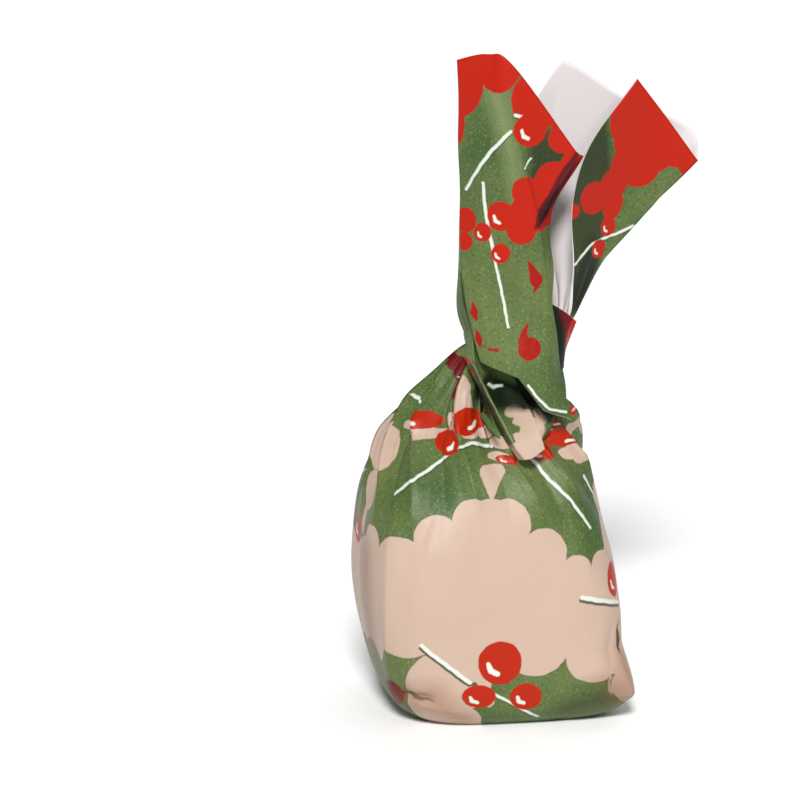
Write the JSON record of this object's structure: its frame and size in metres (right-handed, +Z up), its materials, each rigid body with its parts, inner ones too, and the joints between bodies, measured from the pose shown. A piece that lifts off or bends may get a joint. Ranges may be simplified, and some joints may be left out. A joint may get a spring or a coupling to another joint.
{
  "type": "wrapped chocolate truffle",
  "caption": "Single chocolate truffle shut in printed paper: a boxy flat-bottomed bag, pleated shoulders, a leaning twisted neck and the paper's corners flaring above it.",
  "frame": {"origin": "centre of the bag's flat base, on the surface that the sweet stands on", "axes": "+Z up towards the flared paper, -Y towards the front as pictured, +X to the viewer's right"},
  "size_m": [0.0413, 0.0296, 0.0785],
  "materials": {
    "printed_paper": "thin coated paper with a soft satin sheen, printed outside in green, cream and red, plain white inside"
  },
  "bodies": {
    "root": {"wrapped_truffle": "printed_paper"}
  },
  "joints": []
}
